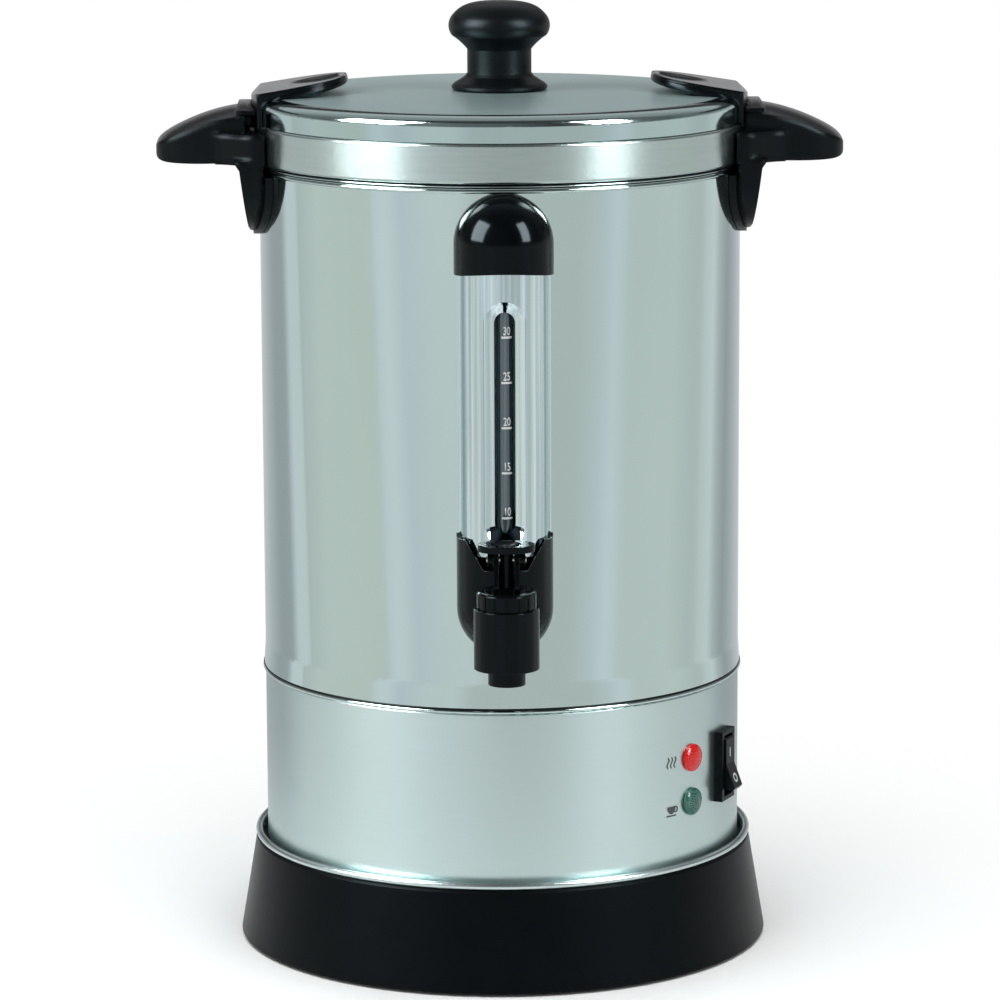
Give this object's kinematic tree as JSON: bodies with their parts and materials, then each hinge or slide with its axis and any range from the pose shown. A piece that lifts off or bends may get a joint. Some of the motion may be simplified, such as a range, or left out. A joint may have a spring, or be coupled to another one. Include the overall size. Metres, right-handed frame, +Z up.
{
  "type": "coffee urn",
  "caption": "Electric coffee urn with a steel tank, black base, twist-lock lid, side handles, sight gauge, dispensing tap and rocker switch.",
  "frame": {"origin": "middle of the base, on the surface that the feet stand on", "axes": "+Z up along the tank's axis, -Y to the front where the tap is, +X to the right seen from the front"},
  "size_m": [0.307, 0.2875, 0.4265],
  "materials": {
    "mirror_steel": "polished",
    "satin_steel": "satin",
    "chrome": "polished",
    "zinc_steel": "satin",
    "black_gloss": "gloss",
    "black_satin": "satin",
    "skirt_black": "gloss",
    "rubber_black": "matte",
    "silicone": "matte",
    "glass": "clear",
    "red_lens": "gloss",
    "green_lens": "gloss",
    "aluminium": "cast",
    "mica": "matte",
    "ceramic": "matte",
    "brass": "satin",
    "wire_sleeve": "matte"
  },
  "bodies": {
    "urn": {"base_skirt": "skirt_black", "bottom_plate": "satin_steel", "rubber_feet": "rubber_black", "feet_screws": "zinc_steel", "trim_ring": "satin_steel", "base_housing": "satin_steel", "tank": "mirror_steel", "rim_band": "satin_steel", "brew_heater": "aluminium", "heater_clamp": "zinc_steel", "tie_rod": "zinc_steel", "tie_nuts": "zinc_steel", "keep_warm_heater": "mica", "thermostats": "ceramic", "thermal_fuse": "zinc_steel", "terminal_block": "ceramic", "wire_harness": "wire_sleeve", "right_handle": "black_gloss", "left_handle": "black_gloss", "right_handle_pad": "black_satin", "left_handle_pad": "black_satin", "handle_screws": "zinc_steel", "gauge_shield": "chrome", "sight_tube": "glass", "tube_bottom_seal": "silicone", "tube_top_seal": "silicone", "gauge_cap": "black_gloss", "cap_screw": "zinc_steel", "gauge_base_cover": "black_gloss", "tap_shank": "black_satin", "shank_gaskets": "silicone", "shank_nut": "black_satin", "tap_body": "black_gloss", "tap_bonnet": "black_gloss", "switch_bezel": "black_satin", "red_lens": "red_lens", "green_lens": "green_lens", "lamp_holders": "ceramic", "power_inlet": "black_satin", "inlet_pins": "brass", "inlet_screws": "zinc_steel"},
    "lid_knob": {"knob": "black_satin", "knob_collar": "black_satin", "knob_washer": "zinc_steel", "knob_screw": "zinc_steel"},
    "lid": {"lid": "mirror_steel", "left_lid_lug": "black_gloss", "right_lid_lug": "black_gloss", "lug_screws": "zinc_steel"},
    "pump": {"pump_tube": "satin_steel", "pump_foot": "satin_steel"},
    "basket": {"coffee_basket": "satin_steel"},
    "spreader": {"basket_spreader": "satin_steel"},
    "stem": {"valve_stem": "black_satin", "seat_cup": "silicone"},
    "lever": {"tap_lever": "black_gloss", "lever_pin": "zinc_steel"},
    "rocker": {"switch_rocker": "black_satin"}
  },
  "joints": [
    {"name": "lid_lift", "type": "slide", "parent": "urn", "child": "lid_knob", "axis": [0, 0, 1], "range_m": [0, 0.42]},
    {"name": "lid_turn", "type": "hinge", "parent": "lid_knob", "child": "lid", "pos_m": [0, 0, 0.38], "axis": [0, 0, 1], "range_deg": [0, 25]},
    {"name": "pump_lift", "type": "slide", "parent": "urn", "child": "pump", "axis": [0, 0, 1], "range_m": [0, 0.26]},
    {"name": "basket_lift", "type": "slide", "parent": "pump", "child": "basket", "axis": [0, 0, 1], "range_m": [0, 0.105]},
    {"name": "spreader_lift", "type": "slide", "parent": "basket", "child": "spreader", "axis": [0, 0, 1], "range_m": [0, 0.022]},
    {"name": "lever_tilt", "type": "hinge", "parent": "stem", "child": "lever", "pos_m": [0, -0.153, 0.202], "axis": [1, 0, 0], "range_deg": [0, 28]},
    {"name": "stem_lift", "type": "slide", "parent": "urn", "child": "stem", "axis": [0, 0, 1], "range_m": [0, 0.0022], "stiffness_N_per_m": 30, "springref_m": -0.002},
    {"name": "rocker_tilt", "type": "hinge", "parent": "urn", "child": "rocker", "pos_m": [0.09879, -0.04607, 0.0866], "axis": [0.4226, 0.9063, 0], "range_deg": [0, 22]}
  ],
  "couplings": [
    {"joint": "pump_lift", "follows": "lid_lift", "ratio": 0.6},
    {"joint": "basket_lift", "follows": "lid_lift", "ratio": 0.24},
    {"joint": "spreader_lift", "follows": "lid_lift", "ratio": 0.05},
    {"joint": "lever_tilt", "follows": "stem_lift", "rad_per_m": 222.2}
  ]
}
